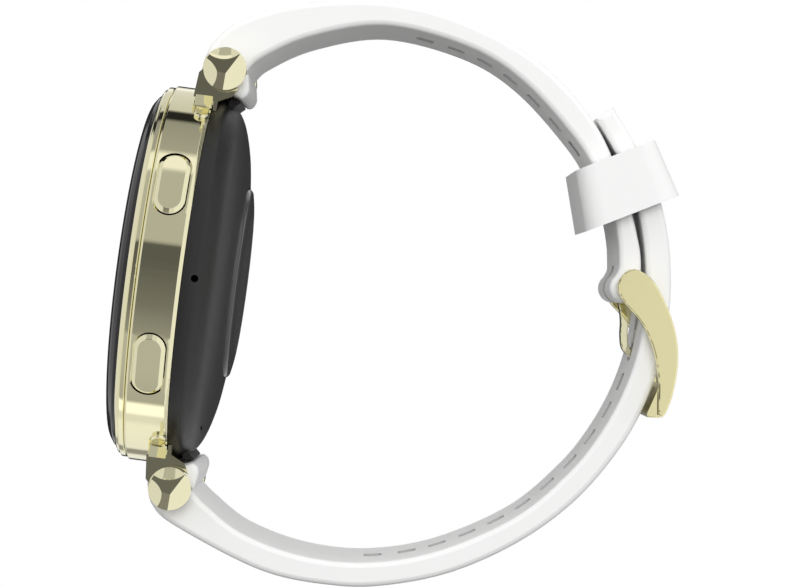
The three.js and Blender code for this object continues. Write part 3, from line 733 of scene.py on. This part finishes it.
finish_piece(tongue, GOLD, "tongue", ["buckle_tongue"])

# ---------------------------------------------------------------- stage and light
FLOOR_Z, FLOOR_R = -0.12, 0.55
FADE_START, FADE_END = 0.14, FLOOR_R * 0.9


def make_floor():
    """A painted disc that fades into the white backdrop toward its rim."""
    b = bmesh.new()
    bmesh.ops.create_circle(b, cap_ends=True, segments=128, radius=FLOOR_R)
    me = bpy.data.meshes.new("floor")
    b.to_mesh(me)
    b.free()
    me.transform(Matrix.Translation((0, 0, FLOOR_Z)))
    o = new_object("floor", me)
    paint = node_material("floor_paint", (0.86, 0.86, 0.86), 0.8, noise=0.05, noise_scale=40)
    o.data.materials.append(paint)
    nodes = paint.node_tree.nodes
    link = paint.node_tree.links.new
    place = nodes.new("ShaderNodeTexCoord")
    size = nodes.new("ShaderNodeVectorMath")
    size.operation = "LENGTH"
    fade = nodes.new("ShaderNodeMapRange")
    fade.interpolation_type = "SMOOTHSTEP"
    fade.inputs["From Min"].default_value = FADE_START
    fade.inputs["From Max"].default_value = FADE_END
    glow = nodes.new("ShaderNodeEmission")
    blend = nodes.new("ShaderNodeMixShader")
    link(place.outputs["Object"], size.inputs[0])
    link(size.outputs["Value"], fade.inputs["Value"])
    link(fade.outputs["Result"], blend.inputs["Fac"])
    link(nodes["Principled BSDF"].outputs[0], blend.inputs[1])
    link(glow.outputs[0], blend.inputs[2])
    link(blend.outputs[0], nodes["Material Output"].inputs["Surface"])
    o.visible_glossy = False
    o.visible_diffuse = False
    return o


floor = make_floor()

world = bpy.data.worlds.new("studio")
bpy.context.scene.world = world
world.use_nodes = True
world.node_tree.nodes.clear()
sky = world.node_tree.nodes
sky_link = world.node_tree.links.new
out = sky.new("ShaderNodeOutputWorld")
direction = sky.new("ShaderNodeTexCoord")
split = sky.new("ShaderNodeSeparateXYZ")
sky_link(direction.outputs["Generated"], split.inputs[0])


def calc(how, a, b=None):
    """One step of arithmetic on sockets or numbers."""
    n = sky.new("ShaderNodeMath")
    n.operation = how
    for k, v in enumerate((a, b)):
        if v is None:
            continue
        if isinstance(v, (int, float)):
            n.inputs[k].default_value = v
        else:
            sky_link(v, n.inputs[k])
    return n.outputs[0]


def rise(v, low, high, start=0.0, end=1.0, smooth=True):
    """start below low, end above high."""
    n = sky.new("ShaderNodeMapRange")
    n.interpolation_type = "SMOOTHSTEP" if smooth else "LINEAR"
    n.inputs["From Min"].default_value = low
    n.inputs["From Max"].default_value = high
    n.inputs["To Min"].default_value = start
    n.inputs["To Max"].default_value = end
    sky_link(v, n.inputs["Value"])
    return n.outputs["Result"]


def swap(mask, a, b):
    """a where the mask is 0 and b where it is 1."""
    n = sky.new("ShaderNodeMix")
    n.data_type = "FLOAT"
    sky_link(mask, n.inputs[0])
    for k, v in ((2, a), (3, b)):
        if isinstance(v, (int, float)):
            n.inputs[k].default_value = v
        else:
            sky_link(v, n.inputs[k])
    return n.outputs[0]


dx, dy, dz = split.outputs["X"], split.outputs["Y"], split.outputs["Z"]
lift = calc("ARCTAN2", dz, calc("MULTIPLY", dy, -1))
ramp = sky.new("ShaderNodeValToRGB")
sky_link(rise(lift, -math.pi, math.pi, smooth=False), ramp.inputs["Fac"])
# Softboxes and flags round the watch: (degrees up from the front, brightness).
PANELS = [(-180, 0.95), (-150, 0.85), (-146, 0.30), (-139, 0.30), (-136, 0.86), (-106, 0.92),
          (-102, 0.78), (-97, 0.78), (-95, 1.15), (-87, 1.15), (-85, 0.42), (-60, 0.48),
          (-39, 0.48), (-37, 0.30), (-20, 0.19), (-8, 0.155), (8, 0.11), (17, 0.11), (19, 0.47),
          (63, 0.48), (66, 0.94), (77, 0.94), (80, 0.38), (98, 0.33), (105, 0.31), (108, 0.02),
          (116, 0.02), (118, 0.62), (150, 0.75), (156, 1.0), (180, 0.95)]
stops = ramp.color_ramp
stops.interpolation = "LINEAR"
while len(stops.elements) > 1:
    stops.elements.remove(stops.elements[-1])
for i, (degrees, bright) in enumerate(PANELS):
    place = (degrees + 180) / 360
    stop = stops.elements[0] if i == 0 else stops.elements.new(place)
    stop.position = place
    stop.color = (bright, bright, bright, 1)
BUCKLE_SIDE, COVER_SIDE_LEVEL, DIAL_SIDE_LEVEL = 0.74, 0.88, 0.75
FLAG_LEVEL, BEHIND_LEVEL = 0.02, 0.035
# Brighter toward the buckle; plain panels at the two sides, with a dark flag above and behind.
level = calc("MAXIMUM", ramp.outputs["Color"], rise(dx, 0.03, 0.06, 0.0, BUCKLE_SIDE))
away = calc("ABSOLUTE", dx)
flag = calc("MULTIPLY", rise(dz, 0.33, 0.36), rise(away, 0.64, 0.68, 1.0, 0.0))
flag = calc("MULTIPLY", flag, rise(dy, 0.2, 0.3))
sides = swap(flag, rise(dx, -0.1, 0.1, DIAL_SIDE_LEVEL, COVER_SIDE_LEVEL), FLAG_LEVEL)
level = swap(rise(away, 0.40, 0.46), level, sides)
behind = calc("MULTIPLY", rise(dy, 0.78, 0.86), rise(calc("ABSOLUTE", dz), 0.24, 0.36, 1.0, 0.0))
level = swap(behind, level, BEHIND_LEVEL)
bg = sky.new("ShaderNodeBackground")
sky_link(level, bg.inputs["Color"])
white = sky.new("ShaderNodeBackground")
white.inputs["Color"].default_value = (1, 1, 1, 1)
lp = sky.new("ShaderNodeLightPath")
mix = sky.new("ShaderNodeMixShader")
sky_link(lp.outputs["Is Camera Ray"], mix.inputs["Fac"])
sky_link(bg.outputs[0], mix.inputs[1])
sky_link(white.outputs[0], mix.inputs[2])
SOFT_BELOW, SOFT_ABOVE = 0.10, 1.05
soft = sky.new("ShaderNodeBackground")
sky_link(rise(dz, -1, 1, SOFT_BELOW, SOFT_ABOVE, False), soft.inputs["Strength"])
last = sky.new("ShaderNodeMixShader")
sky_link(lp.outputs["Is Diffuse Ray"], last.inputs["Fac"])
sky_link(mix.outputs[0], last.inputs[1])
sky_link(soft.outputs[0], last.inputs[2])
sky_link(last.outputs[0], out.inputs["Surface"])


def area(name, size, power, place):
    """A softbox turned to the watch, hidden from its mirrors."""
    l = bpy.data.lights.new(name, "AREA")
    l.shape = "SQUARE"
    l.size = size
    l.energy = power
    o = bpy.data.objects.new(name, l)
    bpy.context.collection.objects.link(o)
    o.location = place
    o.rotation_euler = (-Vector(place)).to_track_quat("-Z", "Y").to_euler()
    o.visible_glossy = False
    return o


# Softboxes: name, size in metres, power in watts, place.
SOFTBOXES = (("front_soft", 0.5, 3.5, (0.05, -0.8, 0.25)), ("top_soft", 0.6, 1.0, (-0.15, -0.15, 0.8)),
             ("right_soft", 0.5, 0.7, (0.8, -0.2, 0.1)), ("left_soft", 0.5, 0.9, (-0.7, -0.4, 0.1)))
for softbox in SOFTBOXES:
    area(*softbox)

# ---------------------------------------------------------------- camera
LEAN = rad(7.5)
DISTANCE = 0.312
FOCAL_PX, PICTURE_WIDE_PX, SENSOR_WIDE = 2870, 786, 36
AIM = Vector((-0.005, 0, 0.00113))
cam = bpy.data.cameras.new("camera")
cam.sensor_width = SENSOR_WIDE
cam.lens = FOCAL_PX / PICTURE_WIDE_PX * SENSOR_WIDE
cam.clip_start = 0.01
cam.clip_end = 20
camera = bpy.data.objects.new("camera", cam)
bpy.context.collection.objects.link(camera)
right_dir = Vector((math.cos(LEAN), 0, math.sin(LEAN)))
up_dir = Vector((-math.sin(LEAN), 0, math.cos(LEAN)))
back_dir = right_dir.cross(up_dir)
view = Matrix((right_dir, up_dir, back_dir)).transposed().to_4x4()
view.translation = AIM + back_dir * DISTANCE
camera.matrix_world = view
bpy.context.scene.camera = camera
bpy.context.scene.view_settings.view_transform = "Standard"
bpy.context.scene.view_settings.look = "None"
